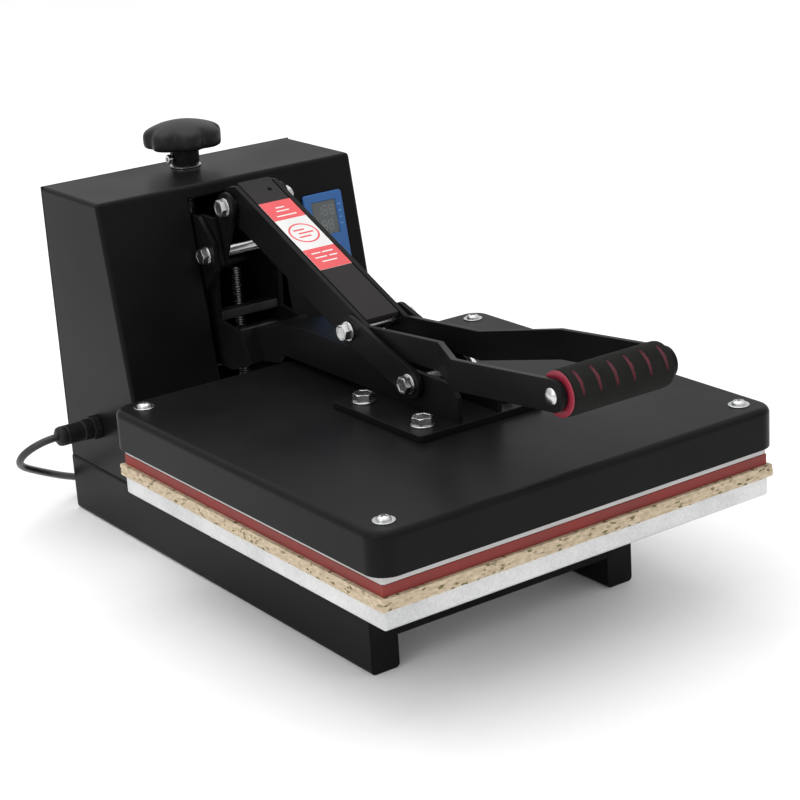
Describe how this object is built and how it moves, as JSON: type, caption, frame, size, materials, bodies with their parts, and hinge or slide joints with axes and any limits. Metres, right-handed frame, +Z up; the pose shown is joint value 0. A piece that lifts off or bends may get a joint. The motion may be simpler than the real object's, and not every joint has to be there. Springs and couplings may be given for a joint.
{
  "type": "heat press",
  "caption": "Clamshell heat press: square upper and lower platens, fork lever with foam grip, slotted rear housing with pressure knob and side control panel.",
  "frame": {"origin": "on the surface that the press stands on, under the middle of its width and depth without the cord", "axes": "+Z up, -Y towards the operator, +X to the operator's right"},
  "size_m": [0.4068, 0.8006, 0.36],
  "materials": {
    "black_powder_coat": "satin powder coat",
    "lever_paint": "satin brown-black paint",
    "zinc": "zinc plated, slightly dulled",
    "dark_steel": "blackened steel",
    "tray_metal": "galvanised sheet, folded",
    "chipboard": "raw pressed wood chips, cut edge",
    "red_silicone": "closed-cell silicone sponge",
    "aluminium_plate": "machined edge",
    "mineral_mat": "pressed mineral fibre",
    "knob_plastic": "moulded, fine texture",
    "foam": "closed-cell foam",
    "panel_blue": "printed membrane",
    "display_grey": "clear window over a grey display",
    "button_grey": "moulded",
    "board_green": "solder mask",
    "label_print": "laminated red and white label",
    "gland_plastic": "nylon",
    "cord_rubber": "smooth jacket",
    "spring_steel": "drawn wire"
  },
  "bodies": {
    "frame": {"base_rail_left": "black_powder_coat", "base_rail_right": "black_powder_coat", "base_front_cross_member": "black_powder_coat", "base_plate": "black_powder_coat", "upright_left": "black_powder_coat", "upright_right": "black_powder_coat", "upright_tie_bars": "dark_steel", "screw_bearing_block": "dark_steel", "main_bolt": "zinc", "housing_shell": "black_powder_coat", "housing_rear_cover": "black_powder_coat", "housing_screws": "zinc", "lower_tray": "tray_metal", "board_screws": "zinc", "press_board": "chipboard", "silicone_pad": "red_silicone", "tray_standoffs": "zinc", "lift_springs": "spring_steel", "control_panel_bezel": "panel_blue", "display_window": "display_grey", "control_board": "board_green", "cable_gland": "gland_plastic", "power_switch_body": "knob_plastic", "heater_relay": "knob_plastic", "mains_cord": "cord_rubber", "cord_coil": "cord_rubber", "mains_plug": "cord_rubber"},
    "upper_platen": {"heating_plate": "aluminium_plate", "heating_element": "dark_steel", "insulation_mat": "mineral_mat", "platen_cover": "black_powder_coat", "cover_screws": "zinc", "bracket_plate": "black_powder_coat", "bracket_bolts": "zinc", "arm_side_left": "black_powder_coat", "arm_side_right": "black_powder_coat", "arm_cross_plates": "black_powder_coat", "arm_cross_bars": "dark_steel"},
    "pressure_rocker": {"rocker_plates": "black_powder_coat", "lever_pivot_bolt": "zinc"},
    "lever": {"lever_side_left": "black_powder_coat", "lever_side_right": "black_powder_coat", "lever_top_plate": "lever_paint", "lever_label": "label_print", "fork_bar_left": "black_powder_coat", "fork_bar_right": "black_powder_coat", "grip_rod": "zinc", "foam_grip": "foam", "link_pivot_bolt": "zinc"},
    "links": {"link_plates": "black_powder_coat", "link_end_bolts": "zinc"},
    "trunnion": {"trunnion_nut": "dark_steel"},
    "pressure_knob": {"star_knob": "knob_plastic", "pressure_screw": "zinc"},
    "switch_rocker": {"power_switch_rocker": "knob_plastic"},
    "button_1": {"panel_button_1": "button_grey"},
    "button_2": {"panel_button_2": "button_grey"},
    "button_3": {"panel_button_3": "button_grey"},
    "button_4": {"panel_button_4": "button_grey"}
  },
  "joints": [
    {"name": "platen_open", "type": "hinge", "parent": "frame", "child": "upper_platen", "pos_m": [0, 0.1945, 0.255], "axis": [-1, 0, 0], "range_deg": [0, 45], "deforming": ["lift_springs"]},
    {"name": "knob_turn", "type": "hinge", "parent": "frame", "child": "pressure_knob", "pos_m": [0, 0.2915, 0.33], "axis": [0, 0, 1], "range_deg": [-2, 722]},
    {"name": "rocker_tilt", "type": "hinge", "parent": "frame", "child": "pressure_rocker", "pos_m": [0, 0.1945, 0.255], "axis": [-1, 0, 0], "range_deg": [0, 2.07]},
    {"name": "trunnion_turn", "type": "hinge", "parent": "pressure_rocker", "child": "trunnion", "pos_m": [0, 0.2915, 0.255], "axis": [-1, 0, 0], "range_deg": [-3, 1]},
    {"name": "lever_lift", "type": "hinge", "parent": "pressure_rocker", "child": "lever", "pos_m": [0, 0.173, 0.301], "axis": [-1, 0, 0], "range_deg": [0, 69]},
    {"name": "link_swing", "type": "hinge", "parent": "lever", "child": "links", "pos_m": [0, -0.0105, 0.2245], "axis": [1, 0, 0], "range_deg": [0, 68]},
    {"name": "power_switch_tilt", "type": "hinge", "parent": "frame", "child": "switch_rocker", "pos_m": [0.1356, 0.262, 0.099], "axis": [0, 1, 0], "range_deg": [-16, 0]},
    {"name": "button_1_press", "type": "slide", "parent": "frame", "child": "button_1", "axis": [0, 0.9847, -0.1742], "range_m": [0, 0.001], "stiffness_N_per_m": 300},
    {"name": "button_2_press", "type": "slide", "parent": "frame", "child": "button_2", "axis": [0, 0.9847, -0.1742], "range_m": [0, 0.001], "stiffness_N_per_m": 300},
    {"name": "button_3_press", "type": "slide", "parent": "frame", "child": "button_3", "axis": [0, 0.9847, -0.1742], "range_m": [0, 0.001], "stiffness_N_per_m": 300},
    {"name": "button_4_press", "type": "slide", "parent": "frame", "child": "button_4", "axis": [0, 0.9847, -0.1742], "range_m": [0, 0.001], "stiffness_N_per_m": 300}
  ],
  "couplings": [
    {"joint": "lever_lift", "follows": "platen_open", "ratio": 1.5156},
    {"joint": "link_swing", "follows": "platen_open", "ratio": 1.4847},
    {"joint": "knob_turn", "follows": "rocker_tilt", "ratio": 348.27},
    {"joint": "trunnion_turn", "follows": "rocker_tilt", "ratio": -1}
  ]
}
